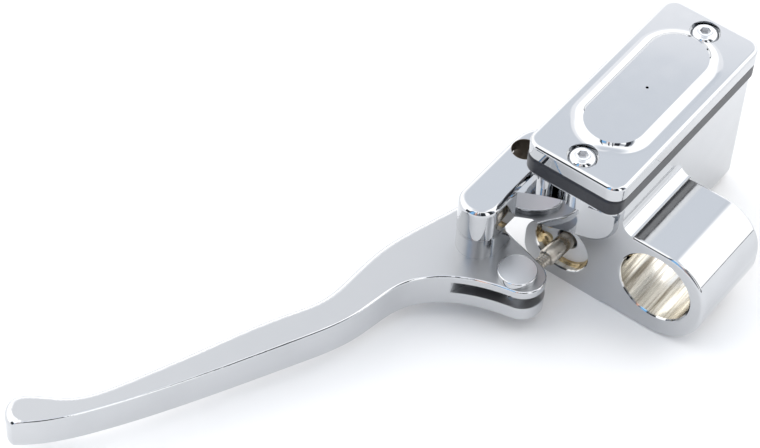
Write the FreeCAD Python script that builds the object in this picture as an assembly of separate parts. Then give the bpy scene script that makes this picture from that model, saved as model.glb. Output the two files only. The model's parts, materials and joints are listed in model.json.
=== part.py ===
import FreeCAD, Part
import math
import os

# Handlebar brake master cylinder, left-hand unit, all sizes in millimetres.
# Frame: origin at the centre of the handlebar bore, X along the bar (the lever blade
# points to -X, outboard), +Y forward, away from the rider, +Z up.

V = FreeCAD.Vector
X_AXIS = V(1, 0, 0)
Y_AXIS = V(0, 1, 0)
Z_AXIS = V(0, 0, 1)
EPS = 0.5                       # how far a cutting tool reaches past the face it opens

# --- driving dimensions -------------------------------------------------------------
BAR_R = 12.7                    # one inch handlebar
BARREL_HALF = 16.5              # half the clamp barrel's length along the bar
BARREL_REAR_Y = -17.9
BARREL_TOP_Z = 16.2
BARREL_EDGE_R = 1.1             # rounding of the barrel's two end edges
BORE_CHAMFER = 0.5
FLOOR_Z = -20.6                 # flat underside of the whole housing

CYL_Y = 34.7                    # master bore axis, parallel to X
CYL_Z = -5.6
CYL_R = 9.525                   # three-quarter inch piston bore
CYL_END_X = 50.0
MOUTH_R = 9.9
MOUTH_DEPTH = 5.0
RING_GROOVE_R = 10.5
END_X = -BARREL_HALF            # flat end face that both bores open into

BODY_Y0 = 14.5                  # reservoir block
BODY_Y1 = 48.2
BODY_X1 = 59.0
BODY_MID_Y = (BODY_Y0 + BODY_Y1) / 2
RIM_Z = 27.7                    # top of the reservoir, where the gasket sits
RIM_X0 = -22.3
RIM_THICK = 1.5
CORNER_R = 4.0
FRONT_LOW_R = 8.5               # rounding along the housing's lower front edge
REAR_LOW_R = 5.0

GASKET_THICK = 6.3
GASKET_PROUD = 0.7              # how far the rubber stands out past the rim
LID_Z0 = RIM_Z + GASKET_THICK
LID_THICK = 5.5
LID_Z1 = LID_Z0 + LID_THICK
LID_OVERHANG = 0.9
LID_EDGE_R = 1.4
LID_HOLLOW = 3.2                # depth of the air space over the diaphragm
PANEL_RISE = 1.8                # raised stadium panel on the lid
PANEL_R = 10.05
COVE_WIDTH = 4.6
PANEL_MID_X = 18.3
PANEL_HALF_RUN = 17.85

SCREW_X = (-17.2, 52.7)         # lid screws, on the lid's centre line
SCREW_R = 2.0
SCREW_TIP_Z = 18.0
SCREW_SLIP = 0.2                # clearance of a lid screw in the lid and gasket
HEAD_R = 4.6
HEAD_SEAT_Z = 37.5
COUNTERBORE_R = 5.1

CAVITY_X0 = -5.0                # fluid reservoir
CAVITY_X1 = 46.5
CAVITY_Y0 = 18.6
CAVITY_Y1 = 44.1
CAVITY_Z0 = 8.0
CAVITY_R = 5.0

PIVOT_X = -36.7                 # lever pivot axis, parallel to Z
PIVOT_Y = 54.0
ARM_R = 7.0
ARM_Z0 = 8.7
ARM_Z1 = 21.3
ARM_EDGE_R = 2.0
SLAB_Z0 = 6.6                   # underside of the web between end face and arm
SLAB_Z1 = 20.3
SLAB_LOW_R = 9.3
MIRROR_X = -11.3
MIRROR_Y = 55.2
MIRROR_R = 4.3

LEVER_Z0 = -13.4                # spot face under the pivot
HEEL_Z0 = -13.9                 # the underside slopes up from the heel to the tip
HEEL_X = -20.0
TIP_Z0 = -11.7
TIP_X = -181.0
LEVER_Z1 = -0.35
BOSS_R = 6.8
RUN_GAP = 0.05                  # running clearance of a fit
WASHER_THICK = 0.45
BUSH_R = 5.0
SHOULDER_R = 3.97
PIVOT_THREAD_R = 2.5
PIVOT_THREAD_TOP = 17.0

PIN_X = -39.1                   # pushrod anchor pin in the lever's ear
PIN_Y = 36.5
PIN_R = 3.9
PIN_HEAD_R = 6.4
PIN_HEAD_THICK = 2.3
EAR_R = 9.0
CLIP_Z0 = LEVER_Z0 - 1.15       # clip and its groove, under the ear
PIN_GROOVE_R = PIN_R - 0.8
SLOT_Z0 = -8.0
SLOT_Z1 = -3.2

ROD_THREAD_R = 2.1
ROD_R = 2.9
ROD_THREAD_LEN = 15.0
BALL_R = 3.2
BALL_X = -5.8
BALL_Y = CYL_Y - 0.5

RING_X0 = -13.9                 # retaining ring, then the stop washer behind it
RING_THICK = 1.0
STOP_HOLE_R = 3.8
RING_IN_R = 9.1

PISTON_X0 = END_X + MOUTH_DEPTH + RUN_GAP
PISTON_R = CYL_R - RUN_GAP
SEAL_X0 = -8.2                  # groove of the secondary seal
SEAL_X1 = -5.0
SEAL_GROOVE_R = 7.2
LAND_X1 = 14.0                  # inboard face of the piston's front land
NOSE_R = 4.0
SEAT_THICK = 0.8
CUP_X0 = 14.4
CUP_X1 = 18.9
SPRING_WIRE_R = 0.65
SPRING_MEAN_R = 6.4
SPRING_TURNS = 8

SET_SCREW_X = -10.5             # set screw that locks the housing to the bar
SET_SCREW_R = 2.5
SET_SCREW_SLOPE = math.radians(14)
SET_TIP_REACH = BAR_R + 0.15    # from the bar's axis to the end of the brass tip
SET_TIP_LEN = 2.6
SET_TIP_R = 2.2
SET_BODY_LEN = 11.0


# --- helpers ------------------------------------------------------------------------
def cyl(radius, length, base, axis=Z_AXIS):
    return Part.makeCylinder(radius, length, V(*base), axis)


def block(x0, y0, z0, x1, y1, z1):
    return Part.makeBox(x1 - x0, y1 - y0, z1 - z0, V(x0, y0, z0))


def rounded_block(x0, y0, z0, x1, y1, z1, radius):
    """A box whose four upright edges are rounded."""
    solid = block(x0, y0, z0, x1, y1, z1)
    upright = [e for e in solid.Edges if abs(e.tangentAt(e.FirstParameter).z) > 0.9]
    return solid.makeFillet(radius, upright)


def arc(a, b, c):
    return Part.Arc(V(*a), V(*b), V(*c)).toShape()


def line(a, b):
    return Part.LineSegment(V(*a), V(*b)).toShape()


def corner_arc(centre, radius, start_deg, end_deg):
    """Arc in the YZ plane at x = 0; angles from +Y towards +Z."""
    pts = []
    for deg in (start_deg, (start_deg + end_deg) / 2, end_deg):
        a = math.radians(deg)
        pts.append((0, centre[0] + radius * math.cos(a), centre[1] + radius * math.sin(a)))
    return arc(*pts)


def prism(edges, direction):
    return Part.Face(Part.Wire(edges)).extrude(direction)


def polygon(points):
    return Part.Face(Part.makePolygon([V(*p) for p in points] + [V(*points[0])]))


def turned(profile):
    """Solid of revolution about the master bore from (x, radius) points."""
    face = polygon([(x, CYL_Y + r, CYL_Z) for x, r in profile])
    return face.revolve(V(0, CYL_Y, CYL_Z), X_AXIS, 360)


def tube_on_bore(x0, x1, outer, inner):
    return turned([(x0, inner), (x1, inner), (x1, outer), (x0, outer)])


def hex_socket(across, depth, base):
    """Hexagonal prism, standing on base and growing along +Z."""
    corner = across / math.sqrt(3)
    ring = []
    for i in range(6):
        a = math.radians(60 * i)
        ring.append((base[0] + corner * math.cos(a), base[1] + corner * math.sin(a), base[2]))
    return polygon(ring).extrude(Z_AXIS * depth)


def on_rod(distance):
    """Point on the pushrod's axis, measured from the anchor pin."""
    start = V(PIN_X, PIN_Y, CYL_Z)
    heading = V(BALL_X - PIN_X, BALL_Y - PIN_Y, 0).normalize()
    return start + heading * distance


def set_screw_axis():
    """Direction from the handlebar's axis out along the set screw."""
    return V(0, math.cos(SET_SCREW_SLOPE), math.sin(SET_SCREW_SLOPE))


def on_set_screw(distance):
    """Point on the set screw's axis, measured from the end of its brass tip."""
    return V(SET_SCREW_X, 0, 0) + set_screw_axis() * (SET_TIP_REACH + distance)


# --- housing ------------------------------------------------------------------------
def clamp_barrel():
    """The part around the handlebar, with its web towards the reservoir."""
    top_r = 15.0
    low_r = 18.6
    low_z = -2.0
    high = (BARREL_REAR_Y + top_r, BARREL_TOP_Z - top_r)
    low = (BARREL_REAR_Y + low_r, low_z)
    join_y = 24.0
    edges = [
        line((0, join_y, FLOOR_Z), (0, join_y, BARREL_TOP_Z)),
        line((0, join_y, BARREL_TOP_Z), (0, high[0], BARREL_TOP_Z)),
        corner_arc(high, top_r, 90, 180),
        line((0, BARREL_REAR_Y, high[1]), (0, BARREL_REAR_Y, low_z)),
        corner_arc(low, low_r, 180, 270),
        line((0, low[0], FLOOR_Z), (0, join_y, FLOOR_Z)),
    ]
    solid = prism(edges, X_AXIS * (2 * BARREL_HALF))
    solid.translate(V(-BARREL_HALF, 0, 0))
    ends = [e for e in solid.Edges if e.BoundBox.XLength < EPS and e.BoundBox.YMin < join_y - EPS]
    return solid.makeFillet(BARREL_EDGE_R, ends)


def bar_hole():
    """Handlebar bore with a small chamfer at each mouth."""
    radius = BAR_R + RUN_GAP
    hole = cyl(radius, 2 * BARREL_HALF + 2, (-BARREL_HALF - 1, 0, 0), X_AXIS)
    wide = radius + BORE_CHAMFER
    mouths = []
    for side in (-1, 1):
        face = V(side * BARREL_HALF, 0, 0)
        mouths.append(Part.makeCone(wide, radius, BORE_CHAMFER, face, X_AXIS * -side))
    return hole.multiFuse(mouths)


def wall_fillet():
    """Concave blend where the barrel's top meets the reservoir's rear wall."""
    r = 4.5
    y = BODY_Y0
    z = BARREL_TOP_Z
    half = r * (1 - math.sqrt(0.5))
    edges = [
        line((0, y + 1, z - 1), (0, y + 1, z + r)),
        line((0, y + 1, z + r), (0, y, z + r)),
        arc((0, y, z + r), (0, y - half, z + half), (0, y - r, z)),
        line((0, y - r, z), (0, y - r, z - 1)),
        line((0, y - r, z - 1), (0, y + 1, z - 1)),
    ]
    solid = prism(edges, X_AXIS * (2 * BARREL_HALF))
    solid.translate(V(-BARREL_HALF, 0, 0))
    return solid


def low_corners():
    """Rounded lower edges of the housing's long body, from the rear wall to the front."""
    front = (BODY_Y1 - FRONT_LOW_R, FLOOR_Z + FRONT_LOW_R)
    rear = (BODY_Y0 + REAR_LOW_R, FLOOR_Z + REAR_LOW_R)
    return [
        corner_arc(rear, REAR_LOW_R, 180, 270),
        line((0, rear[0], FLOOR_Z), (0, front[0], FLOOR_Z)),
        corner_arc(front, FRONT_LOW_R, 270, 360),
    ]


def cylinder_casing(x1):
    """Round-cornered metal around the bore's mouth, from the end face to x1."""
    high_r = 9.0
    shoulder_z = -7.6
    high = (BODY_Y1 - high_r, shoulder_z)
    top = shoulder_z + high_r
    edges = low_corners() + [
        line((0, BODY_Y1, FLOOR_Z + FRONT_LOW_R), (0, BODY_Y1, shoulder_z)),
        corner_arc(high, high_r, 0, 90),
        line((0, high[0], top), (0, BODY_Y0, top)),
        line((0, BODY_Y0, top), (0, BODY_Y0, FLOOR_Z + REAR_LOW_R)),
    ]
    solid = prism(edges, X_AXIS * (x1 - END_X))
    solid.translate(V(END_X, 0, 0))
    return solid


def long_body(x0):
    """Full height body from x0 inboard, its far end rounded all the way down."""
    edges = low_corners() + [
        line((0, BODY_Y1, FLOOR_Z + FRONT_LOW_R), (0, BODY_Y1, RIM_Z)),
        line((0, BODY_Y1, RIM_Z), (0, BODY_Y0, RIM_Z)),
        line((0, BODY_Y0, RIM_Z), (0, BODY_Y0, FLOOR_Z + REAR_LOW_R)),
    ]
    solid = prism(edges, X_AXIS * (BODY_X1 - x0))
    solid.translate(V(x0, 0, 0))
    far = [e for e in solid.Edges
           if e.BoundBox.XMin > BODY_X1 - 0.1 and e.BoundBox.ZMin < RIM_Z - 0.1]
    return solid.makeFillet(CORNER_R, far)


def reservoir_block():
    """Reservoir walls, the neck under their outboard end and the rim plate."""
    neck_y1 = 39.2
    front_x0 = -4.0
    blend_x = front_x0 + 2.0
    boss_r = 6.2
    pillar_r = 2.6
    pillar_inset = 6.4
    foot_z = SLAB_Z1 - 1
    height = RIM_Z - foot_z
    neck = block(END_X, BODY_Y0, 0, blend_x, neck_y1, RIM_Z)
    upper = block(END_X, BODY_Y0, ARM_Z0, blend_x, BODY_Y1, RIM_Z)
    rim = rounded_block(RIM_X0, BODY_Y0, RIM_Z - RIM_THICK, BODY_X1, BODY_Y1, RIM_Z, CORNER_R)
    screw_boss = cyl(boss_r, height, (SCREW_X[0] + 2.6, BODY_MID_Y, foot_z))
    pillar = cyl(pillar_r, height, (RIM_X0 + pillar_r, BODY_Y1 - pillar_inset, foot_z))
    pieces = [upper, rim, screw_boss, pillar, cylinder_casing(blend_x), long_body(front_x0)]
    return neck.multiFuse(pieces)


def slab_side():
    """Side view of the slab: round at its lower rear, raised clear of the lever at the front."""
    round_y = BODY_Y0 + 3.0
    clear_y = 40.0
    slope = ARM_Z0 - SLAB_Z0
    front_y = PIVOT_Y
    centre = (round_y + SLAB_LOW_R, SLAB_Z0 + SLAB_LOW_R)
    edges = [
        corner_arc(centre, SLAB_LOW_R, 180, 270),
        line((0, centre[0], SLAB_Z0), (0, clear_y, SLAB_Z0)),
        line((0, clear_y, SLAB_Z0), (0, clear_y + slope, ARM_Z0)),
        line((0, clear_y + slope, ARM_Z0), (0, front_y, ARM_Z0)),
        line((0, front_y, ARM_Z0), (0, front_y, SLAB_Z1)),
        line((0, front_y, SLAB_Z1), (0, round_y, SLAB_Z1)),
        line((0, round_y, SLAB_Z1), (0, round_y, centre[1])),
    ]
    return edges


def slab():
    """Web between the end face and the arm, with a hollowed outboard face."""
    inner_x = END_X + 6
    arm_y = PIVOT_Y - ARM_R + 1
    z = SLAB_Z0
    start = (END_X, BODY_Y0 + 2, z)
    hollow = (-19.8, 31.5, z)
    finish = (-27.5, arm_y, z)
    back = (inner_x, arm_y, z)
    inner = (inner_x, BODY_Y0 + 2, z)
    edges = [arc(start, hollow, finish), line(finish, back), line(back, inner), line(inner, start)]
    plan = prism(edges, Z_AXIS * (SLAB_Z1 - z))
    side = prism(slab_side(), X_AXIS * 40)
    side.translate(V(finish[0] - 1, 0, 0))
    return plan.common(side)


def arm():
    """Perch arm that carries the lever pivot and the mirror hole."""
    y0 = PIVOT_Y - ARM_R
    y1 = PIVOT_Y + ARM_R
    root_r = y1 - BODY_Y1
    root_x = -9.0
    side_x = root_x + root_r
    tail_x = -12.0
    tail_y = y0 - 5.0
    z = ARM_Z0
    bend = root_r * math.sqrt(0.5)
    edges = [
        arc((PIVOT_X, y0, z), (PIVOT_X - ARM_R, PIVOT_Y, z), (PIVOT_X, y1, z)),
        line((PIVOT_X, y1, z), (root_x, y1, z)),
        arc((root_x, y1, z), (root_x + bend, BODY_Y1 + bend, z), (side_x, BODY_Y1, z)),
        line((side_x, BODY_Y1, z), (side_x, tail_y, z)),
        line((side_x, tail_y, z), (tail_x, tail_y, z)),
        line((tail_x, tail_y, z), (tail_x, y0, z)),
        line((tail_x, y0, z), (PIVOT_X, y0, z)),
    ]
    solid = prism(edges, Z_AXIS * (ARM_Z1 - z))
    rim = []
    for edge in solid.Edges:
        box = edge.BoundBox
        tail = box.XLength < EPS and abs(box.XMin - tail_x) < EPS
        if box.ZMin > ARM_Z1 - EPS and box.YMax > y0 - EPS and not tail:
            rim.append(edge)
    return solid.makeFillet(ARM_EDGE_R, rim)


def master_bore():
    """Stepped bore, open at the end face, with ring groove and outlet port."""
    chamfer = 0.45
    mouth_x1 = END_X + MOUTH_DEPTH
    port_r = 4.5
    passage_r = 1.5
    port_x0 = CYL_END_X + 1.2
    profile = [
        (END_X - EPS, 0),
        (END_X - EPS, MOUTH_R + chamfer),
        (END_X, MOUTH_R + chamfer),
        (END_X + chamfer, MOUTH_R),
        (RING_X0 - RUN_GAP, MOUTH_R),
        (RING_X0 - RUN_GAP, RING_GROOVE_R),
        (RING_X0 + RING_THICK + RUN_GAP, RING_GROOVE_R),
        (RING_X0 + RING_THICK + RUN_GAP, MOUTH_R),
        (mouth_x1, MOUTH_R),
        (mouth_x1, CYL_R),
        (CYL_END_X, CYL_R),
        (CYL_END_X, passage_r),
        (port_x0, passage_r),
        (port_x0, port_r),
        (BODY_X1 + EPS, port_r),
        (BODY_X1 + EPS, 0),
    ]
    return turned(profile)


def fluid_ports():
    """Replenishing and compensating ports from the reservoir floor into the bore."""
    feed_r = 1.5
    feed_x = 5.5
    bleed_r = 0.5
    bleed_x = CUP_X1 + 0.9
    height = CAVITY_Z0 + EPS - CYL_Z
    feed = cyl(feed_r, height, (feed_x, CYL_Y, CYL_Z))
    bleed = cyl(bleed_r, height, (bleed_x, CYL_Y, CYL_Z))
    return [feed, bleed]


def set_screw_tunnel():
    """Threaded tunnel from the front, widened where it breaks into the bar bore."""
    relief_r = 3.6
    relief_x0 = -4.0
    relief_len = 6.0
    through = 60.0
    axis = set_screw_axis()
    tunnel = cyl(SET_SCREW_R + RUN_GAP, through, tuple(on_set_screw(0)), axis)
    relief = cyl(relief_r, relief_len, tuple(on_set_screw(relief_x0)), axis)
    return tunnel.fuse(relief)


def screw_holes():
    height = RIM_Z + EPS - SCREW_TIP_Z + 1
    return [cyl(SCREW_R + RUN_GAP, height, (x, BODY_MID_Y, SCREW_TIP_Z - 1)) for x in SCREW_X]


def housing():
    body = clamp_barrel().multiFuse(
        [wall_fillet(), reservoir_block(), slab(), arm()]
    ).removeSplitter()
    cuts = [
        bar_hole(),
        master_bore(),
        rounded_block(CAVITY_X0, CAVITY_Y0, CAVITY_Z0, CAVITY_X1, CAVITY_Y1, RIM_Z + 1, CAVITY_R),
        set_screw_tunnel(),
        cyl(MIRROR_R, ARM_Z1 - ARM_Z0 + 2, (MIRROR_X, MIRROR_Y, ARM_Z0 - 1)),
        cyl(PIVOT_THREAD_R + RUN_GAP, PIVOT_THREAD_TOP - ARM_Z0 + 1.5, (PIVOT_X, PIVOT_Y, ARM_Z0 - 1)),
    ]
    return body.cut(cuts + fluid_ports() + screw_holes())


# --- reservoir top ------------------------------------------------------------------
def panel_section():
    """Half section of the raised panel: flat top, crisp edge, hollow cove."""
    z0 = LID_Z1
    z1 = LID_Z1 + PANEL_RISE
    outer = PANEL_R + COVE_WIDTH
    radius = (COVE_WIDTH ** 2 + PANEL_RISE ** 2) / (2 * PANEL_RISE)
    mid_angle = math.asin(COVE_WIDTH / radius) / 2
    mid = (outer - radius * math.sin(mid_angle), z0 + radius * (1 - math.cos(mid_angle)))
    return z0, z1, outer, mid


def panel_end(centre_x, start):
    z0, z1, outer, mid = panel_section()
    y = BODY_MID_Y
    edges = [
        line((centre_x, y, z0 - 1), (centre_x, y, z1)),
        line((centre_x, y, z1), (centre_x, y + PANEL_R, z1)),
        arc((centre_x, y + PANEL_R, z1), (centre_x, y + mid[0], mid[1]), (centre_x, y + outer, z0)),
        line((centre_x, y + outer, z0), (centre_x, y + outer, z0 - 1)),
        line((centre_x, y + outer, z0 - 1), (centre_x, y, z0 - 1)),
    ]
    face = Part.Face(Part.Wire(edges))
    return face.revolve(V(centre_x, y, 0), Z_AXIS, start)


def panel_run(x0, x1):
    z0, z1, outer, mid = panel_section()
    y = BODY_MID_Y
    edges = [
        line((x0, y - outer, z0 - 1), (x0, y + outer, z0 - 1)),
        line((x0, y + outer, z0 - 1), (x0, y + outer, z0)),
        arc((x0, y + outer, z0), (x0, y + mid[0], mid[1]), (x0, y + PANEL_R, z1)),
        line((x0, y + PANEL_R, z1), (x0, y - PANEL_R, z1)),
        arc((x0, y - PANEL_R, z1), (x0, y - mid[0], mid[1]), (x0, y - outer, z0)),
        line((x0, y - outer, z0), (x0, y - outer, z0 - 1)),
    ]
    return prism(edges, X_AXIS * (x1 - x0))


def reservoir_lid():
    o = LID_OVERHANG
    plate = rounded_block(
        RIM_X0 - o, BODY_Y0 - o, LID_Z0, BODY_X1 + o, BODY_Y1 + o, LID_Z1, CORNER_R + o)
    top_edges = [e for e in plate.Edges if e.BoundBox.ZMin > LID_Z1 - 0.1]
    plate = plate.makeFillet(LID_EDGE_R, top_edges)
    x0 = PANEL_MID_X - PANEL_HALF_RUN
    x1 = PANEL_MID_X + PANEL_HALF_RUN
    lid = plate.multiFuse([panel_run(x0, x1), panel_end(x0, 180), panel_end(x1, -180)])
    inset = 1.5
    hollow = rounded_block(
        CAVITY_X0 + inset, CAVITY_Y0 + inset, LID_Z0 - 1,
        CAVITY_X1 - inset, CAVITY_Y1 - inset, LID_Z0 + LID_HOLLOW, CAVITY_R)
    vent_r = 0.5
    vent = cyl(vent_r, LID_THICK + 4, (PANEL_MID_X, BODY_MID_Y, LID_Z0 + 1))
    cuts = [hollow, vent]
    for x in SCREW_X:
        cuts.append(cyl(COUNTERBORE_R, LID_THICK, (x, BODY_MID_Y, HEAD_SEAT_Z)))
        cuts.append(cyl(SCREW_R + SCREW_SLIP, LID_THICK + 2, (x, BODY_MID_Y, LID_Z0 - 1)))
    return lid.cut(cuts)


def diaphragm_gasket():
    """Rubber rim between lid and reservoir, with a cup hanging into the fluid."""
    gap = 1.0
    skin = 1.3
    cup_z0 = 15.0
    bulge = 1.0
    p = GASKET_PROUD
    rim = rounded_block(
        RIM_X0 - 2 * p, BODY_Y0 - p, RIM_Z, BODY_X1 + p, BODY_Y1 + p, LID_Z0, CORNER_R + p)
    round_edges = [e for e in rim.Edges if e.BoundBox.ZLength < EPS]
    rim = rim.makeFillet(bulge, round_edges)
    cup = rounded_block(
        CAVITY_X0 + gap, CAVITY_Y0 + gap, cup_z0,
        CAVITY_X1 - gap, CAVITY_Y1 - gap, LID_Z0, CAVITY_R - gap)
    inside = rounded_block(
        CAVITY_X0 + gap + skin, CAVITY_Y0 + gap + skin, cup_z0 + skin,
        CAVITY_X1 - gap - skin, CAVITY_Y1 - gap - skin, LID_Z0 + 1, CAVITY_R - gap - skin)
    holes = [cyl(SCREW_R + SCREW_SLIP, GASKET_THICK + 2, (x, BODY_MID_Y, RIM_Z - 1)) for x in SCREW_X]
    return rim.fuse(cup).cut([inside] + holes)


def lid_screw(x):
    """Button head screw with a hexagon socket."""
    head_h = 2.6
    rim_h = 0.9
    crown_r = 2.2
    shoulder = (3.7, 2.0)           # radius and height of a point on the dome
    socket_across = 3.2
    socket_depth = 1.6
    y = BODY_MID_Y
    z = HEAD_SEAT_Z
    edges = [
        line((x, y, z), (x + HEAD_R, y, z)),
        line((x + HEAD_R, y, z), (x + HEAD_R, y, z + rim_h)),
        arc((x + HEAD_R, y, z + rim_h),
            (x + shoulder[0], y, z + shoulder[1]),
            (x + crown_r, y, z + head_h)),
        line((x + crown_r, y, z + head_h), (x, y, z + head_h)),
        line((x, y, z + head_h), (x, y, z)),
    ]
    head = Part.Face(Part.Wire(edges)).revolve(V(x, y, z), Z_AXIS, 360)
    shank = cyl(SCREW_R, z - SCREW_TIP_Z + EPS, (x, y, SCREW_TIP_Z))
    socket = hex_socket(socket_across, socket_depth + EPS, (x, y, z + head_h - socket_depth))
    return head.fuse(shank).removeSplitter().cut(socket)


def lid_screws():
    return Part.makeCompound([lid_screw(x) for x in SCREW_X])


def splash_baffle():
    """Thin plate over the compensating port, standing on three short feet."""
    thick = 0.8
    corner_r = 2.0
    foot_r = 1.0
    foot_inset = 2.5
    z0 = CAVITY_Z0 + 1.2
    x0 = CUP_X1 - 7
    x1 = CUP_X1 + 9
    y0 = CYL_Y - 7
    y1 = CYL_Y + 5
    plate = rounded_block(x0, y0, z0, x1, y1, z0 + thick, corner_r)
    places = [(x0, y0, 1, 1), (x1, y0, -1, 1), (x1, y1, -1, -1)]
    feet = []
    for x, y, in_x, in_y in places:
        foot = (x + in_x * foot_inset, y + in_y * foot_inset, CAVITY_Z0)
        feet.append(cyl(foot_r, z0 - CAVITY_Z0 + thick / 2, foot))
    return plate.multiFuse(feet).removeSplitter()


# --- bar lock -----------------------------------------------------------------------
def bar_set_screw():
    socket_across = 2.5
    socket_depth = 3.0
    body = cyl(SET_SCREW_R, SET_BODY_LEN, tuple(on_set_screw(SET_TIP_LEN)), set_screw_axis())
    socket = hex_socket(socket_across, socket_depth + 1, (0, 0, 0))
    socket.rotate(V(0, 0, 0), X_AXIS, -(90 - math.degrees(SET_SCREW_SLOPE)))
    socket.translate(on_set_screw(SET_TIP_LEN + SET_BODY_LEN - socket_depth))
    return body.cut(socket)


def brass_tip():
    axis = set_screw_axis()
    bevel = 0.6
    nose_r = SET_TIP_R - 0.5
    nose = Part.makeCone(nose_r, SET_TIP_R, bevel, on_set_screw(0), axis)
    body = cyl(SET_TIP_R, SET_TIP_LEN - bevel, tuple(on_set_screw(bevel)), axis)
    return nose.fuse(body).removeSplitter()


# --- lever --------------------------------------------------------------------------
def spline(points, z):
    curve = Part.BSplineCurve()
    curve.interpolate([V(x, y, z) for x, y in points])
    return curve.toShape()


def lever_outline(z):
    """Plan outline: rear edge, ear around the anchor pin, inner end, then front and tip."""
    turn = math.radians(-25)
    corner = (-181.0, 119.6)
    ear_start = (-45.6, 34.0)
    ear_end = (PIN_X + EAR_R * math.cos(turn), PIN_Y + EAR_R * math.sin(turn))
    heel = (-26.0, 50.2)
    heel_top = (-27.7, 68.8)
    rear = [corner, (-174.0, 112.4), (-160.4, 102.9), (-132.4, 87.7), (-102.3, 73.2),
            (-84.5, 66.1), (-73.6, 64.2), (-65.4, 62.3), (-55.1, 54.7), (-48.7, 43.9), ear_start]
    front = [heel_top, (-40.9, 72.8), (-56.0, 76.5), (-73.9, 77.3), (-84.5, 78.2),
             (-96.0, 83.1), (-123.9, 94.8), (-148.0, 104.6), (-162.2, 113.2), (-168.3, 122.0),
             (-173.6, 126.2), (-178.6, 124.6), corner]
    return [
        spline(rear, z),
        arc(ear_start + (z,), (PIN_X, PIN_Y - EAR_R, z), ear_end + (z,)),
        line(ear_end + (z,), heel + (z,)),
        arc(heel + (z,), (-21.9, 60.5, z), heel_top + (z,)),
        spline(front, z),
    ]


def level_edges(solid, z):
    """Edges that lie in the level plane z."""
    return [e for e in solid.Edges if abs(e.BoundBox.ZMin - z) < 0.15 and abs(e.BoundBox.ZMax - z) < 0.15]


def below_blade():
    """Everything under the blade's sloping underside."""
    slope = (TIP_Z0 - HEEL_Z0) / (HEEL_X - TIP_X)
    reach = 20.0
    low = HEEL_Z0 - 2
    side = polygon([
        (HEEL_X + reach, 0, HEEL_Z0 - slope * reach),
        (TIP_X - reach, 0, TIP_Z0 + slope * reach),
        (TIP_X - reach, 0, low),
        (HEEL_X + reach, 0, low),
    ])
    return side.extrude(Y_AXIS * 160)


def lever_blade():
    """Blade with a broad round along its front top edge and a small one elsewhere."""
    broad = 2.4
    small = 0.6
    base = HEEL_Z0 - 1
    solid = prism(lever_outline(base), Z_AXIS * (LEVER_Z1 - base)).cut(below_blade())
    front = [e for e in level_edges(solid, LEVER_Z1)
             if e.BoundBox.XMax > PIVOT_X and e.BoundBox.YMax > 2 * PIVOT_Y]
    solid = solid.makeFillet(broad, front)
    rear = [e for e in level_edges(solid, LEVER_Z1)
            if e.BoundBox.YMin < PIVOT_Y and e.BoundBox.XMin < PIN_X - 1]
    under = [e for e in solid.Edges if e.BoundBox.ZMax < TIP_Z0 + EPS]
    return solid.makeFillet(small, rear + under)


def lever_boss():
    """Pivot boss with its squared inner side and the ramp down to the blade."""
    top = ARM_Z0 - WASHER_THICK - RUN_GAP
    round_part = cyl(BOSS_R, top - LEVER_Z1 + 1, (PIVOT_X, PIVOT_Y, LEVER_Z1 - 1))
    y0 = PIVOT_Y - BOSS_R - 0.6
    shoulder_x = PIVOT_X + 4.0
    foot_x = PIVOT_X + 8.4
    side = polygon([
        (PIVOT_X - 1.5, y0, LEVER_Z1 - 1),
        (foot_x, y0, LEVER_Z1 - 1),
        (foot_x, y0, LEVER_Z1),
        (shoulder_x, y0, top),
        (PIVOT_X - 1.5, y0, top),
    ])
    return round_part.fuse(side.extrude(Y_AXIS * (BOSS_R + 4.0)))


def pin_slot():
    """Level saw cut across the ear that the pushrod swings in."""
    blind_end = (-36.0, 46.0)
    outboard = (-62.0, 55.0)
    inboard_x = -22.0
    rear_y = 24.0
    z = SLOT_Z0
    face = polygon([
        outboard + (z,),
        blind_end + (z,),
        (inboard_x, blind_end[1], z),
        (inboard_x, rear_y, z),
        (outboard[0], rear_y, z),
    ])
    return face.extrude(Z_AXIS * (SLOT_Z1 - SLOT_Z0))


def lever():
    through = 24.0
    spot_face_r = BOSS_R + 0.4
    body = lever_blade().fuse(lever_boss()).removeSplitter()
    cuts = [
        pin_slot(),
        cyl(PIN_R + RUN_GAP, through, (PIN_X, PIN_Y, HEEL_Z0 - 1)),
        cyl(BUSH_R, through, (PIVOT_X, PIVOT_Y, HEEL_Z0 - 1)),
        cyl(spot_face_r, 2, (PIVOT_X, PIVOT_Y, LEVER_Z0 - 2)),
    ]
    return body.cut(cuts)


def pivot_bushing():
    top = ARM_Z0 - WASHER_THICK - RUN_GAP
    height = top - LEVER_Z0
    sleeve = cyl(BUSH_R, height, (PIVOT_X, PIVOT_Y, LEVER_Z0))
    return sleeve.cut(cyl(SHOULDER_R + RUN_GAP, height + 2, (PIVOT_X, PIVOT_Y, LEVER_Z0 - 1)))


def pivot_washer(z0):
    ring = cyl(BOSS_R - 0.2, WASHER_THICK, (PIVOT_X, PIVOT_Y, z0))
    return ring.cut(cyl(SHOULDER_R + RUN_GAP, WASHER_THICK + 1, (PIVOT_X, PIVOT_Y, z0 - EPS)))


def lower_washer_z0():
    return LEVER_Z0 - RUN_GAP - WASHER_THICK


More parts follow.
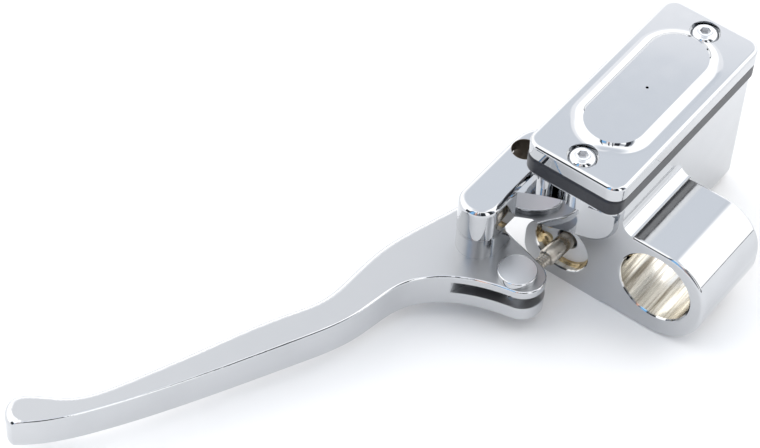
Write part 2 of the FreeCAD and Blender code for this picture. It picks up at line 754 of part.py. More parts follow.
def pivot_screw():
    """Shoulder screw put in from below and threaded into the arm."""
    head_r = 6.0
    head_h = 3.6
    bevel = 0.5
    socket_across = 4.0
    socket_depth = 2.4
    head_z1 = lower_washer_z0()
    head_z0 = head_z1 - head_h
    head = cyl(head_r, head_h, (PIVOT_X, PIVOT_Y, head_z0))
    head = head.makeChamfer(bevel, [e for e in head.Edges if e.BoundBox.ZMax < head_z1 - 1])
    shoulder = cyl(SHOULDER_R, ARM_Z0 - head_z1, (PIVOT_X, PIVOT_Y, head_z1))
    thread = cyl(PIVOT_THREAD_R, PIVOT_THREAD_TOP - ARM_Z0, (PIVOT_X, PIVOT_Y, ARM_Z0))
    socket = hex_socket(socket_across, socket_depth + EPS, (PIVOT_X, PIVOT_Y, head_z0 - EPS))
    return head.multiFuse([shoulder, thread]).removeSplitter().cut(socket)


# --- pushrod group ------------------------------------------------------------------
def anchor_pin():
    """Headed swivel pin, cross drilled for the pushrod's thread."""
    head_edge_r = 0.4
    groove_width = 0.8
    head_z0 = LEVER_Z1 + RUN_GAP
    foot_z = LEVER_Z0 - 2.2
    head = cyl(PIN_HEAD_R, PIN_HEAD_THICK, (PIN_X, PIN_Y, head_z0))
    head = head.makeFillet(head_edge_r, [e for e in head.Edges if e.BoundBox.ZMin > head_z0 + 1])
    body = cyl(PIN_R, head_z0 - foot_z, (PIN_X, PIN_Y, foot_z))
    groove = cyl(PIN_R + 1, groove_width, (PIN_X, PIN_Y, CLIP_Z0 - RUN_GAP))
    groove = groove.cut(cyl(PIN_GROOVE_R, 2, (PIN_X, PIN_Y, CLIP_Z0 - 1)))
    heading = on_rod(1) - on_rod(0)
    cross = cyl(ROD_THREAD_R, 2 * PIN_R + 4, tuple(on_rod(-PIN_R - 2)), heading)
    return head.fuse(body).removeSplitter().cut([groove, cross])


def pin_clip():
    """E-clip in the groove under the lever's ear."""
    outer_r = 5.6
    thick = 0.7
    half_mouth = 1.9
    z0 = CLIP_Z0
    ring = cyl(outer_r, thick, (PIN_X, PIN_Y, z0))
    ring = ring.cut(cyl(PIN_GROOVE_R + 0.1, thick + 1, (PIN_X, PIN_Y, z0 - EPS)))
    mouth = block(PIN_X - half_mouth, PIN_Y - outer_r - 1, z0 - EPS, PIN_X + half_mouth, PIN_Y, z0 + 1)
    return ring.cut(mouth)


def pushrod():
    """Adjusting rod: threaded through the pin, plain towards the piston, with a ball end."""
    stub = 3.5                      # thread that shows past the far side of the pin's axis
    neck_r = 2.2
    neck_len = 5.0
    heading = on_rod(1) - on_rod(0)
    length = on_rod(0).distanceToPoint(V(BALL_X, BALL_Y, CYL_Z))
    shank_len = length - ROD_THREAD_LEN - neck_len + EPS
    thread = cyl(ROD_THREAD_R, ROD_THREAD_LEN + stub, tuple(on_rod(-stub)), heading)
    shank = cyl(ROD_R, shank_len, tuple(on_rod(ROD_THREAD_LEN)), heading)
    neck = cyl(neck_r, neck_len, tuple(on_rod(length - neck_len)), heading)
    ball = Part.makeSphere(BALL_R, on_rod(length))
    return thread.multiFuse([shank, neck, ball]).removeSplitter()


# --- inside the master bore ---------------------------------------------------------
def retaining_ring():
    """Internal circlip, its two eyes towards the front."""
    half_gap = math.radians(13)
    eye_turn = math.radians(27)
    eye_at = 7.9                    # from the bore's axis to the middle of an eye
    eye_r = 1.9
    eye_hole_r = 0.8
    reach = 14
    x0 = RING_X0
    ring = tube_on_bore(x0, x0 + RING_THICK, RING_GROOVE_R - RUN_GAP, RING_IN_R)
    gap = polygon([
        (x0 - 1, CYL_Y, CYL_Z),
        (x0 - 1, CYL_Y + reach * math.cos(half_gap), CYL_Z - reach * math.sin(half_gap)),
        (x0 - 1, CYL_Y + reach * math.cos(half_gap), CYL_Z + reach * math.sin(half_gap)),
    ]).extrude(X_AXIS * (RING_THICK + 2))
    body = ring.cut(gap)
    for side in (-1, 1):
        y = CYL_Y + eye_at * math.cos(eye_turn)
        z = CYL_Z + eye_at * math.sin(eye_turn) * side
        body = body.fuse(cyl(eye_r, RING_THICK, (x0, y, z), X_AXIS))
        body = body.cut(cyl(eye_hole_r, RING_THICK + 1, (x0 - EPS, y, z), X_AXIS))
    return body.removeSplitter()


def stop_washer():
    x0 = RING_X0 + RING_THICK
    return tube_on_bore(x0, END_X + MOUTH_DEPTH, MOUTH_R - RUN_GAP, STOP_HOLE_R)


def piston():
    waist_r = 5.6
    waist_x0 = 0.5
    waist_x1 = 10.5
    land_x1 = -2.0
    socket_r = 4.3
    socket_x = -6.6
    profile = [
        (PISTON_X0, 0), (PISTON_X0, PISTON_R),
        (SEAL_X0, PISTON_R), (SEAL_X0, SEAL_GROOVE_R),
        (SEAL_X1, SEAL_GROOVE_R), (SEAL_X1, PISTON_R),
        (land_x1, PISTON_R), (waist_x0, waist_r),
        (waist_x1, waist_r), (waist_x1, PISTON_R),
        (LAND_X1, PISTON_R), (LAND_X1, NOSE_R),
        (CUP_X1, NOSE_R), (CUP_X1, 0),
    ]
    socket = cyl(socket_r, socket_x - PISTON_X0 + 1, (PISTON_X0 - 1, CYL_Y, CYL_Z), X_AXIS)
    return turned(profile).cut([socket, Part.makeSphere(socket_r, V(socket_x, CYL_Y, CYL_Z))])


def secondary_seal():
    """Rubber ring in the piston's groove, its lip tapered inboard."""
    lip_r = CYL_R - 0.025
    side_gap = 0.1
    taper_r = 9.1
    taper_x = -6.6
    x0 = SEAL_X0 + side_gap
    x1 = SEAL_X1 - side_gap
    return turned([(x0, SEAL_GROOVE_R), (x1, SEAL_GROOVE_R), (x1, taper_r), (taper_x, lip_r), (x0, lip_r)])


def cup_shim():
    return tube_on_bore(LAND_X1, CUP_X0, CYL_R - 0.325, NOSE_R)


def primary_cup():
    """Rubber cup, its lip towards the pressure side."""
    lip_r = CYL_R - 0.02
    base_r = 9.1
    floor_x = CUP_X0 + 1.6
    profile = [
        (CUP_X0, NOSE_R), (CUP_X0, base_r),
        (CUP_X1, lip_r), (CUP_X1, 8.2),
        (floor_x, 7.2), (floor_x, 5.6),
        (CUP_X1, 5.0), (CUP_X1, NOSE_R),
    ]
    return turned(profile)


def spring_seat():
    """Flanged cap that spreads the spring's load on the piston nose."""
    flange_r = 7.6
    hub_r = 5.2
    hub_len = 4.0
    x0 = CUP_X1
    x1 = x0 + SEAT_THICK
    x2 = x0 + hub_len
    return turned([(x0, 0), (x0, flange_r), (x1, flange_r), (x1, hub_r), (x2, hub_r), (x2, 0)])


def return_spring():
    """Helical spring with its axis on the bore."""
    x0 = CUP_X1 + SEAT_THICK + SPRING_WIRE_R
    x1 = CYL_END_X - SPRING_WIRE_R
    helix = Part.makeHelix((x1 - x0) / SPRING_TURNS, x1 - x0, SPRING_MEAN_R)
    start = V(SPRING_MEAN_R, 0, 0)
    ring = Part.Wire(Part.Circle(start, V(0, 1, 0), SPRING_WIRE_R).toShape())
    wire = Part.Wire(helix).makePipeShell([ring], True, True)
    wire.rotate(V(0, 0, 0), Y_AXIS, 90)
    wire.translate(V(x0, CYL_Y, CYL_Z))
    return wire


NODES = {
    "housing": housing,
    "reservoir_lid": reservoir_lid,
    "diaphragm_gasket": diaphragm_gasket,
    "lid_screws": lid_screws,
    "splash_baffle": splash_baffle,
    "bar_set_screw": bar_set_screw,
    "set_screw_brass_tip": brass_tip,
    "brake_lever": lever,
    "pivot_bushing": pivot_bushing,
    "pivot_screw": pivot_screw,
    "upper_pivot_washer": lambda: pivot_washer(ARM_Z0 - WASHER_THICK),
    "lower_pivot_washer": lambda: pivot_washer(lower_washer_z0()),
    "anchor_pin": anchor_pin,
    "anchor_pin_clip": pin_clip,
    "pushrod": pushrod,
    "retaining_ring": retaining_ring,
    "stop_washer": stop_washer,
    "piston": piston,
    "secondary_seal": secondary_seal,
    "cup_shim": cup_shim,
    "primary_cup": primary_cup,
    "spring_seat": spring_seat,
    "return_spring": return_spring,
}


def main():
    os.makedirs("parts", exist_ok=True)
    for name, make in NODES.items():
        shape = make()
        shape.exportStep("parts/" + name + ".step")
        print(name, shape.isValid(), len(shape.Solids), round(shape.Volume, 1))


main()
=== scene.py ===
import json
import math

import bmesh
import bpy
from mathutils import Matrix, Vector


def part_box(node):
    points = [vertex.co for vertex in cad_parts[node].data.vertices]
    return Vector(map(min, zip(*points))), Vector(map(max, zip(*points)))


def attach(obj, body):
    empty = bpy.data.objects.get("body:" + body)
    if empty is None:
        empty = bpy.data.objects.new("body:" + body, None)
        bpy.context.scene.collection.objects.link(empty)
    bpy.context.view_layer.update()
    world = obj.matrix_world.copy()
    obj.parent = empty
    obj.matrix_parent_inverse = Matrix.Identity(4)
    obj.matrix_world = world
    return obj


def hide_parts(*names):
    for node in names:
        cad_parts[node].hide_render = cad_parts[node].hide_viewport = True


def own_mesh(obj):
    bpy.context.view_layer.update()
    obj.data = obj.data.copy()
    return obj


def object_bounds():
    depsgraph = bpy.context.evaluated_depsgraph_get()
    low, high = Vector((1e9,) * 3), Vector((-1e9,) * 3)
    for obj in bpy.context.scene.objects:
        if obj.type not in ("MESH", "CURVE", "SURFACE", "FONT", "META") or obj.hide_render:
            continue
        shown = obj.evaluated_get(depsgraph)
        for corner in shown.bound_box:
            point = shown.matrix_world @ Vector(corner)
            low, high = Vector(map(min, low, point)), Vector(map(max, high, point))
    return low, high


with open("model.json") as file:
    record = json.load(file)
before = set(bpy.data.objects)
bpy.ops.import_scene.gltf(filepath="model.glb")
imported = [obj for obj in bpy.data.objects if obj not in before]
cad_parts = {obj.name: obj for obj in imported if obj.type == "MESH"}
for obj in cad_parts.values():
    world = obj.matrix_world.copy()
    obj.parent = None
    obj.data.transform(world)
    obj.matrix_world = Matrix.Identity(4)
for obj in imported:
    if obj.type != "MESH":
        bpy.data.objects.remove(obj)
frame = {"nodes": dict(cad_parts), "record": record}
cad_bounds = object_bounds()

MM = 0.001

# --- camera and floor ---------------------------------------------------------------
VIEW_AZIMUTH = -55.61           # degrees; 0 looks along +Y
VIEW_ELEVATION = 48.59
VIEW_ROLL = 3.70
VIEW_DISTANCE = 0.8151
VIEW_CENTRE = Vector((-0.04985, 0.08228, 0.0))
LENS_MM = 121.69
SENSOR_MM = 36.0
FLOOR_HALF = 4.0                # metres from the middle to an edge
FLOOR_COLOUR = (0.96, 0.96, 0.96, 1)
FLOOR_ROUGHNESS = 0.9


def view_back():
    """Unit vector from the object towards the camera."""
    a = math.radians(VIEW_AZIMUTH)
    e = math.radians(VIEW_ELEVATION)
    return Vector((math.sin(a) * math.cos(e), -math.cos(a) * math.cos(e), math.sin(e)))


def make_camera():
    data = bpy.data.cameras.new("camera")
    data.lens = LENS_MM
    data.sensor_width = SENSOR_MM
    data.clip_start = 0.01
    data.clip_end = 50.0
    camera = bpy.data.objects.new("camera", data)
    bpy.context.scene.collection.objects.link(camera)
    back = view_back()
    right = Vector((0, 0, 1)).cross(back).normalized()
    up = back.cross(right)
    roll = math.radians(VIEW_ROLL)
    tilted_right = right * math.cos(roll) + up * math.sin(roll)
    tilted_up = back.cross(tilted_right)
    turn = Matrix((tilted_right, tilted_up, back)).transposed()
    camera.matrix_world = Matrix.Translation(VIEW_CENTRE + back * VIEW_DISTANCE) @ turn.to_4x4()
    bpy.context.scene.camera = camera


def make_floor():
    """Large plain pale floor under the object."""
    mesh = bpy.data.meshes.new("floor")
    z = cad_bounds[0].z
    h = FLOOR_HALF
    mesh.from_pydata([(-h, -h, z), (h, -h, z), (h, h, z), (-h, h, z)], [], [(0, 1, 2, 3)])
    floor = bpy.data.objects.new("floor", mesh)
    bpy.context.scene.collection.objects.link(floor)
    material = bpy.data.materials.new("floor_white")
    material.use_nodes = True
    shader = material.node_tree.nodes["Principled BSDF"]
    shader.inputs["Base Color"].default_value = FLOOR_COLOUR
    shader.inputs["Roughness"].default_value = FLOOR_ROUGHNESS
    mesh.materials.append(material)


# --- node helpers -------------------------------------------------------------------
class Graph:
    """Short spellings for building a node tree."""

    def __init__(self, tree):
        self.tree = tree

    def put(self, kind, **settings):
        node = self.tree.nodes.new(kind)
        for key, value in settings.items():
            setattr(node, key, value)
        return node

    def wire(self, source, target):
        """Links a socket to target, or sets target to a plain value."""
        if isinstance(source, bpy.types.NodeSocket):
            self.tree.links.new(source, target)
        else:
            target.default_value = source

    def math(self, operation, a, b=0.0, c=None):
        node = self.put("ShaderNodeMath", operation=operation)
        self.wire(a, node.inputs[0])
        self.wire(b, node.inputs[1])
        if c is not None:
            self.wire(c, node.inputs[2])
        return node.outputs[0]

    def length(self, a, b):
        """Length of the flat vector (a, b)."""
        squares = self.math("ADD", self.math("MULTIPLY", a, a), self.math("MULTIPLY", b, b))
        return self.math("SQRT", squares)

    def ramp(self, value, low, high, out_low=0.0, out_high=1.0):
        """Smooth step of value from low to high."""
        node = self.put("ShaderNodeMapRange", interpolation_type="SMOOTHSTEP")
        self.wire(value, node.inputs["Value"])
        node.inputs["From Min"].default_value = low
        node.inputs["From Max"].default_value = high
        node.inputs["To Min"].default_value = out_low
        node.inputs["To Max"].default_value = out_high
        return node.outputs["Result"]

    def mix(self, factor, a, b):
        """Colour a where factor is 0 and b where it is 1."""
        node = self.put("ShaderNodeMix", data_type="RGBA")
        self.wire(factor, node.inputs["Factor"])
        self.wire(a, node.inputs[6])
        self.wire(b, node.inputs[7])
        return node.outputs[2]


# --- studio round the object --------------------------------------------------------
GREY = (1.04, 1.09, 1.17, 1)
PALE = (1.45, 1.46, 1.50, 1)
WHITE = (1.95, 1.95, 1.95, 1)
MID = (0.34, 0.37, 0.42, 1)
DARK = (0.05, 0.055, 0.065, 1)
BLUE = (0.36, 0.80, 1.35, 1)
ORANGE = (1.20, 0.66, 0.48, 1)

# Heights are sines of elevation, so these two lie past the lowest and highest points.
UNDER = -1.2
OVER = 1.2

# Each card lies over the ones before it: centre and half width in degrees of azimuth,
# lowest and highest height, colour, and how soft its edges are in degrees and in height.
CARDS = [
    (30, 32, 0.55, OVER, PALE, 8.0, 0.04),
    (22, 22, 0.693, OVER, GREY, 5.0, 0.008),
    (224, 62, UNDER, 0.86, MID, 6.0, 0.06),
    (203, 15, 0.60, 0.86, PALE, 2.0, 0.02),
    (197, 2.2, 0.30, 0.92, DARK, 0.6, 0.02),
    (211, 2.2, 0.30, 0.92, DARK, 0.6, 0.02),
    (250, 9, UNDER, 0.80, WHITE, 1.5, 0.02),
    (268, 8, UNDER, 0.88, DARK, 1.0, 0.02),
    (228, 10, UNDER, 0.88, DARK, 1.0, 0.02),
    (176, 9, UNDER, 0.84, BLUE, 3.0, 0.03),
    (166, 2.5, 0.30, 0.92, DARK, 0.6, 0.02),
    (154, 10, UNDER, 0.60, DARK, 1.0, 0.02),
    (195, 2.5, UNDER, 0.82, ORANGE, 1.0, 0.03),
]
ZENITH = (0.93, 0.99)           # heights between which the white turns to grey
HORIZON = (0.0, 0.035)          # heights between which the dark below ends


def make_world():
    """White studio with a grey top, and the cards laid over it."""
    world = bpy.data.worlds.new("studio")
    bpy.context.scene.world = world
    world.use_nodes = True
    world.node_tree.nodes.clear()
    g = Graph(world.node_tree)
    direction = g.put("ShaderNodeTexCoord").outputs["Generated"]
    split = g.put("ShaderNodeSeparateXYZ")
    g.wire(direction, split.inputs[0])
    x, y, height = split.outputs
    flat = g.length(x, y)
    colour = g.mix(g.ramp(height, *ZENITH), WHITE, GREY)
    for centre, half, low, high, tint, soft_degrees, soft in CARDS:
        a = math.radians(centre)
        x_part = g.math("MULTIPLY", x, math.cos(a))
        along = g.math("ADD", x_part, g.math("MULTIPLY", y, math.sin(a)))
        facing = g.math("DIVIDE", along, flat)
        outer = math.cos(math.radians(half + soft_degrees))
        inner = math.cos(math.radians(half - soft_degrees))
        across = g.ramp(facing, outer, inner)
        upper = g.ramp(height, high - soft, high + soft, 1.0, 0.0)
        lower = g.ramp(height, low - soft, low + soft)
        inside = g.math("MULTIPLY", g.math("MULTIPLY", across, upper), lower)
        colour = g.mix(inside, colour, tint)
    colour = g.mix(g.ramp(height, *HORIZON), DARK, colour)
    background = g.put("ShaderNodeBackground")
    g.wire(colour, background.inputs["Color"])
    output = g.put("ShaderNodeOutputWorld")
    g.wire(background.outputs[0], output.inputs["Surface"])


# --- bores in the casting, from the CAD frame, in metres --------------------------------
MOUNTS = {mount["name"]: mount for mount in frame["record"]["mounts"]}
BAR_DIMS = MOUNTS["bar_bore"]["dims"]
END_BEVEL = 0.5 * MM            # beyond the bar bore, at each end
WALL_SKIN = 0.2 * MM            # how far a bore's finish reaches into its wall
END_FACE_X = -(BAR_DIMS["length_mm"] / 2 * MM + END_BEVEL)
BAR_BORE = (0.0, 0.0)           # y, z
BAR_BORE_R = BAR_DIMS["r_mm"] * MM + WALL_SKIN
MASTER_BORE = MOUNTS["hose_port"]["pos_m"][1:]      # y, z
MASTER_MOUTH_R = 10.7 * MM      # just past the retaining ring's groove
MIRROR_HOLE = MOUNTS["mirror_hole"]["pos_m"][:2]    # x, y
MIRROR_R = MOUNTS["mirror_hole"]["dims"]["r_mm"] * MM + 0.15 * MM
SET_SCREW_LOW, SET_SCREW_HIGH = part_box("bar_set_screw")
TUNNEL_X = (SET_SCREW_LOW.x + SET_SCREW_HIGH.x) / 2
TUNNEL_R = 2.5 * MM + WALL_SKIN
TUNNEL_SLOPE = math.radians(14)


# --- materials ----------------------------------------------------------------------
CHROME_CLEAR = (0.56, 0.57, 0.585)
CHROME_DULL = (0.53, 0.54, 0.555)
REAMED_LIGHT = (0.86, 0.84, 0.79, 1)
REAMED_DARK = (0.30, 0.26, 0.20, 1)
# Bare casting inside the small holes, darkened far below any metal as painted shade.
HOLE_CAST_AND_SHADE = (0.16, 0.135, 0.11, 1)
RAW_ROUGHNESS = 0.55
STREAK_SCALE = (20.0, 420.0, 420.0)     # long along the bores, fine across them
RUBBER_BLACK = (0.012, 0.013, 0.017, 1)
RUBBER_GREY = (0.03, 0.032, 0.04, 1)
# The steel washer's white and cream stand in for its reflection of the white studio: painted
# reflection.
WASHER_PAINTED_WHITE = (0.95, 0.95, 0.94, 1)
WASHER_PAINTED_CREAM = (0.88, 0.88, 0.86, 1)
METAL_GRAIN = 500.0             # grains to the metre
FINE_GRAIN = 0.1 * MM           # height of the bump on rubber, the washer and bare metal


def new_material(name, metallic, roughness):
    material = bpy.data.materials.new(name)
    material.use_nodes = True
    shader = material.node_tree.nodes["Principled BSDF"]
    shader.inputs["Metallic"].default_value = metallic
    shader.inputs["Roughness"].default_value = roughness
    return material, shader, Graph(material.node_tree)


def noise(g, scale, detail=3.0, vector=None):
    node = g.put("ShaderNodeTexNoise")
    node.inputs["Scale"].default_value = scale
    node.inputs["Detail"].default_value = detail
    if vector is None:
        vector = g.put("ShaderNodeTexCoord").outputs["Object"]
    g.wire(vector, node.inputs["Vector"])
    return node.outputs["Fac"]


def bump(g, shader, height, strength, distance):
    node = g.put("ShaderNodeBump")
    node.inputs["Strength"].default_value = strength
    node.inputs["Distance"].default_value = distance
    g.wire(height, node.inputs["Height"])
    g.wire(node.outputs["Normal"], shader.inputs["Normal"])


def level_ground(g):
    """1 on level faces that look up, 0 elsewhere."""
    split = g.put("ShaderNodeSeparateXYZ")
    g.wire(g.put("ShaderNodeNewGeometry").outputs["True Normal"], split.inputs[0])
    return g.ramp(split.outputs["Z"], 0.990, 0.999)


def toned(colour, add, times=1.0):
    """Colour with add laid on each channel and then multiplied, with an alpha of 1."""
    return tuple((value + add) * times for value in colour) + (1,)


def chrome(name, tone=0.0, flat_rough=0.05, painted_top_tone=1.0):
    """Polished plating: near mirror, with faint buffing haze, softer level faces, and level faces
    that look up tinted lighter or darker as painted light and painted shade.
    """
    material, shader, g = new_material(name, 1.0, 0.04)
    haze = noise(g, 60.0)
    plate = g.mix(g.ramp(haze, 0.35, 0.75), toned(CHROME_CLEAR, tone), toned(CHROME_DULL, tone))
    level = level_ground(g)
    # Faces that look up take the plating colour times painted_top_tone: painted light or painted
    # shade on the tops.
    painted_top_colour = toned(CHROME_CLEAR, tone, painted_top_tone)
    g.wire(g.mix(level, plate, painted_top_colour), shader.inputs["Base Color"])
    polish = g.ramp(noise(g, 220.0, 5.0), 0.3, 0.8, 0.02, 0.05)
    soft = g.math("MULTIPLY", level, flat_rough)
    g.wire(g.math("ADD", polish, soft), shader.inputs["Roughness"])
    bump(g, shader, noise(g, 90.0, 1.0), 0.03, 0.0004)
    return material


def object_axes(g):
    """x, y and z of the shaded point in the CAD frame, as sockets."""
    split = g.put("ShaderNodeSeparateXYZ")
    g.wire(g.put("ShaderNodeTexCoord").outputs["Object"], split.inputs[0])
    return tuple(split.outputs)


def inside_bore(g, across, centre, radius):
    """1 within radius of a bore's axis, 0 outside it."""
    offsets = [g.math("SUBTRACT", value, at) for value, at in zip(across, centre)]
    return g.math("LESS_THAN", g.length(*offsets), radius)


def inside_tunnel(g, x, y, z):
    """1 inside the set screw's tunnel, which slopes up towards the front."""
    aside = g.math("SUBTRACT", x, TUNNEL_X)
    rise = g.math("MULTIPLY", z, math.cos(TUNNEL_SLOPE))
    above = g.math("SUBTRACT", rise, g.math("MULTIPLY", y, math.sin(TUNNEL_SLOPE)))
    near = g.math("LESS_THAN", g.length(aside, above), TUNNEL_R)
    return g.math("MULTIPLY", near, g.math("GREATER_THAN", y, 0.0))


def casting_chrome():
    """Chrome outside, with the bores left as machined metal and the holes as bare casting, painted
    dark inside as shade.
    """
    material = chrome("chrome_casting")
    g = Graph(material.node_tree)
    shader = material.node_tree.nodes["Principled BSDF"]
    plated = shader.inputs["Base Color"].links[0].from_socket
    gloss = shader.inputs["Roughness"].links[0].from_socket
    x, y, z = object_axes(g)
    bar = inside_bore(g, (y, z), BAR_BORE, BAR_BORE_R)
    master = inside_bore(g, (y, z), MASTER_BORE, MASTER_MOUTH_R)
    hole = inside_bore(g, (x, y), MIRROR_HOLE, MIRROR_R)
    # The holes take the dark cast colour: bare casting, plus painted shade inside the holes.
    holes_cast_and_shaded = g.math("MAXIMUM", hole, inside_tunnel(g, x, y, z))
    sunk = g.math("GREATER_THAN", x, END_FACE_X + WALL_SKIN)
    bored = g.math("MULTIPLY", g.math("MAXIMUM", bar, master), sunk)
    stretch = g.put("ShaderNodeMapping")
    stretch.inputs["Scale"].default_value = STREAK_SCALE
    g.wire(g.put("ShaderNodeTexCoord").outputs["Object"], stretch.inputs["Vector"])
    streak = noise(g, 1.0, 4.0, stretch.outputs["Vector"])
    reamed = g.mix(g.ramp(streak, 0.46, 0.68), REAMED_LIGHT, REAMED_DARK)
    g.wire(g.mix(holes_cast_and_shaded, g.mix(bored, plated, reamed), HOLE_CAST_AND_SHADE), shader.inputs["Base Color"])
    worn = g.ramp(streak, 0.3, 0.7, 0.10, 0.24)
    rough = g.math("MULTIPLY_ADD", bored, g.math("SUBTRACT", worn, gloss), gloss)
    raw_rough = g.math("MULTIPLY", holes_cast_and_shaded, RAW_ROUGHNESS)
    g.wire(g.math("MAXIMUM", rough, raw_rough), shader.inputs["Roughness"])
    return material


def rubber():
    material, shader, g = new_material("black_rubber", 0.0, 0.32)
    speckle = noise(g, 900.0, 4.0)
    g.wire(g.mix(speckle, RUBBER_BLACK, RUBBER_GREY), shader.inputs["Base Color"])
    shader.inputs["Specular IOR Level"].default_value = 0.35
    bump(g, shader, speckle, 0.12, FINE_GRAIN)
    return material


def painted_white_washer():
    # Diffuse white for the steel washer: the white is a painted reflection of the studio.
    material, shader, g = new_material("washer_painted_reflection", 0.0, 0.3)
    cloud = noise(g, 300.0, 3.0)
    g.wire(g.mix(cloud, WASHER_PAINTED_WHITE, WASHER_PAINTED_CREAM), shader.inputs["Base Color"])
    bump(g, shader, cloud, 0.1, FINE_GRAIN)
    return material


def metal(name, light, dark, rough_low, rough_high):
    """Bare or plated metal with grain-sized variation of colour and gloss."""
    material, shader, g = new_material(name, 1.0, rough_low)
    field = noise(g, METAL_GRAIN, 5.0)
    g.wire(g.mix(g.ramp(field, 0.3, 0.75), light + (1,), dark + (1,)), shader.inputs["Base Color"])
    gloss = g.ramp(noise(g, METAL_GRAIN * 0.4, 3.0), 0.3, 0.8, rough_low, rough_high)
    g.wire(gloss, shader.inputs["Roughness"])
    bump(g, shader, field, 0.15, FINE_GRAIN)
    return material


MATERIALS = {
    "chrome_casting": casting_chrome(),
    # The last number paints the lever's tops darker as painted shade and the hardware's tops
    # lighter as painted light.
    "chrome_lever": chrome("chrome_lever", 0.02, 0.36, 0.80),
    "chrome_hardware": chrome("chrome_hardware", 0.05, 0.30, 1.35),
    "bare_steel": metal("bare_steel", (0.50, 0.47, 0.42), (0.34, 0.31, 0.27), 0.22, 0.36),
    "bright_washer": painted_white_washer(),
    "zinc_gold": metal("zinc_gold", (0.74, 0.60, 0.38), (0.55, 0.42, 0.22), 0.16, 0.30),
    "brass": metal("brass", (0.80, 0.62, 0.30), (0.62, 0.46, 0.20), 0.28, 0.42),
    "bronze": metal("bronze", (0.55, 0.36, 0.20), (0.40, 0.25, 0.13), 0.35, 0.5),
    "black_rubber": rubber(),
    "piston_aluminium": metal(
        "piston_aluminium", (0.62, 0.62, 0.63), (0.50, 0.50, 0.52), 0.28, 0.40
    ),
}


def dress_nodes():
    """Gives every CAD node the finish of its own slot."""
    for node in frame["nodes"].values():
        for index, material in enumerate(node.data.materials):
            slot = material.name.split(".")[0]
            if slot in MATERIALS:
                node.material_slots[index].material = MATERIALS[slot]


# --- pieces made of rings of vertices -----------------------------------------------
SHARP_EDGE = math.radians(50)
UP = Vector((0, 0, 1))


def piece_from_rings(name, build, rings, slot):
    """Closed tube through rings of vertices, as a smooth object with a slot's finish."""
    sides = len(rings[0])
    for first, second in zip(rings, rings[1:]):
        for k in range(sides):
            n = (k + 1) % sides
            build.faces.new((first[k], first[n], second[n], second[k]))
    build.faces.new(rings[0])
    build.faces.new(rings[-1])
    bmesh.ops.recalc_face_normals(build, faces=build.faces)
    mesh = bpy.data.meshes.new(name)
    build.to_mesh(mesh)
    build.free()
    mesh.shade_smooth()
    mesh.set_sharp_from_angle(angle=SHARP_EDGE)
    mesh.materials.append(MATERIALS[slot])
    piece = bpy.data.objects.new(name, mesh)
    bpy.context.scene.collection.objects.link(piece)
    return piece


# --- adjusting rod with a cut thread --------------------------------------------------
ROD_SIDES = 72
THREAD_PITCH = 1.0 * MM
THREAD_STEPS = 10               # rows of vertices in one pitch
THREAD_R = 2.1 * MM
THREAD_ROOT_R = 1.68 * MM
THREAD_FLAT = 1.25              # above 1, the crests are cut flat
THREAD_BACK = 3.5 * MM          # thread beyond the pin's axis
THREAD_END = 15.0 * MM          # from the pin's axis to the plain shank
SHANK_R = 2.9 * MM
SHANK_STEP = 0.02 * MM          # the shoulder between thread and shank is nearly square
SHANK_BEVEL = 0.5 * MM
NECK_R = 2.2 * MM
NECK_LEN = 5.0 * MM
BALL_R = 3.2 * MM
BALL_ROWS = 14


def thread_radius(s, turn):
    """Radius of the thread at distance s along the rod and at a fraction of a turn."""
    phase = (s / THREAD_PITCH - turn) % 1.0
    tooth = min(1.0, THREAD_FLAT * (1.0 - abs(2.0 * phase - 1.0)))
    return THREAD_ROOT_R + (THREAD_R - THREAD_ROOT_R) * tooth


def rod_rows(length):
    """(distance, list of radii round the rod) for each ring, from the far end to the ball."""
    turns = [k / ROD_SIDES for k in range(ROD_SIDES)]
    rows = []
    count = round((THREAD_END + THREAD_BACK) / THREAD_PITCH * THREAD_STEPS)
    for i in range(count + 1):
        s = -THREAD_BACK + (THREAD_END + THREAD_BACK) * i / count
        rows.append((s, [thread_radius(s, turn) for turn in turns]))
    plain = [
        (THREAD_END + SHANK_STEP, SHANK_R - SHANK_BEVEL),
        (THREAD_END + SHANK_BEVEL, SHANK_R),
        (length - NECK_LEN - SHANK_BEVEL, SHANK_R),
        (length - NECK_LEN, NECK_R),
    ]
    start = math.asin(NECK_R / BALL_R)
    for i in range(BALL_ROWS):
        angle = start + (math.pi - start) * i / BALL_ROWS
        plain.append((length - BALL_R * math.cos(angle), BALL_R * math.sin(angle)))
    for s, radius in plain:
        rows.append((s, [radius] * ROD_SIDES))
    return rows


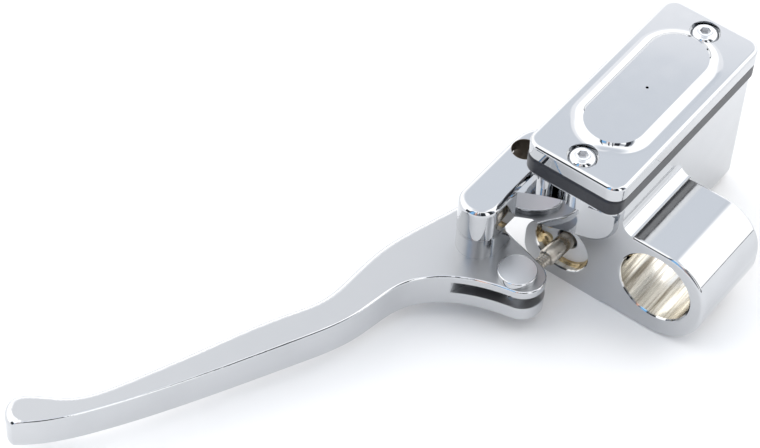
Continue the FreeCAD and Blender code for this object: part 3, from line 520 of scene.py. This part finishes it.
def adjusting_rod():
    """Threaded rod from the lever's anchor pin to the piston, as one closed mesh."""
    pin_low, pin_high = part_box("anchor_pin")
    rod_low, rod_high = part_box("pushrod")
    z = (rod_low.z + rod_high.z) / 2
    pin = Vector(((pin_low.x + pin_high.x) / 2, (pin_low.y + pin_high.y) / 2, z))
    ball = Vector((rod_high.x - BALL_R, rod_low.y + BALL_R, z))
    along = (ball - pin).normalized()
    side = UP.cross(along)
    length = (ball - pin).length
    build = bmesh.new()
    rings = []
    for s, radii in rod_rows(length):
        ring = []
        for k, radius in enumerate(radii):
            a = 2 * math.pi * k / ROD_SIDES
            out = side * math.cos(a) + UP * math.sin(a)
            ring.append(build.verts.new(pin + along * s + out * radius))
        rings.append(ring)
    rod = piece_from_rings("adjusting_rod", build, rings, "bare_steel")
    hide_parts("pushrod")
    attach(rod, "pushrod")


# --- return spring, built at one length, though the real one shortens as the piston moves in ---
WIRE_SIDES = 14
COIL_TURNS = 8
COIL_STEPS = 40                 # rings of vertices in one turn
WIRE_R = 0.65 * MM


def return_coil():
    """Helical spring between the spring seat and the end of the bore."""
    low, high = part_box("return_spring")
    radius = (high.y - low.y) / 2 - WIRE_R
    centre = Vector((0, (low.y + high.y) / 2, (low.z + high.z) / 2))
    x0 = low.x + WIRE_R
    run = high.x - low.x - 2 * WIRE_R
    count = COIL_TURNS * COIL_STEPS
    pitch = run / COIL_TURNS
    build = bmesh.new()
    rings = []
    for i in range(count + 1):
        a = 2 * math.pi * i / COIL_STEPS
        out = Vector((0, math.cos(a), math.sin(a)))
        middle = centre + out * radius + Vector((x0 + run * i / count, 0, 0))
        ahead = Vector((pitch / (2 * math.pi * radius), -math.sin(a), math.cos(a)))
        side = out.cross(ahead.normalized())
        ring = []
        for k in range(WIRE_SIDES):
            b = 2 * math.pi * k / WIRE_SIDES
            round_wire = out * math.cos(b) + side * math.sin(b)
            ring.append(build.verts.new(middle + round_wire * WIRE_R))
        rings.append(ring)
    coil = piece_from_rings("return_coil", build, rings, "bare_steel")
    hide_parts("return_spring")
    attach(coil, "perch")
    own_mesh(coil)


make_camera()
adjusting_rod()
return_coil()
make_floor()
make_world()
dress_nodes()
bpy.context.scene.view_settings.view_transform = "Standard"
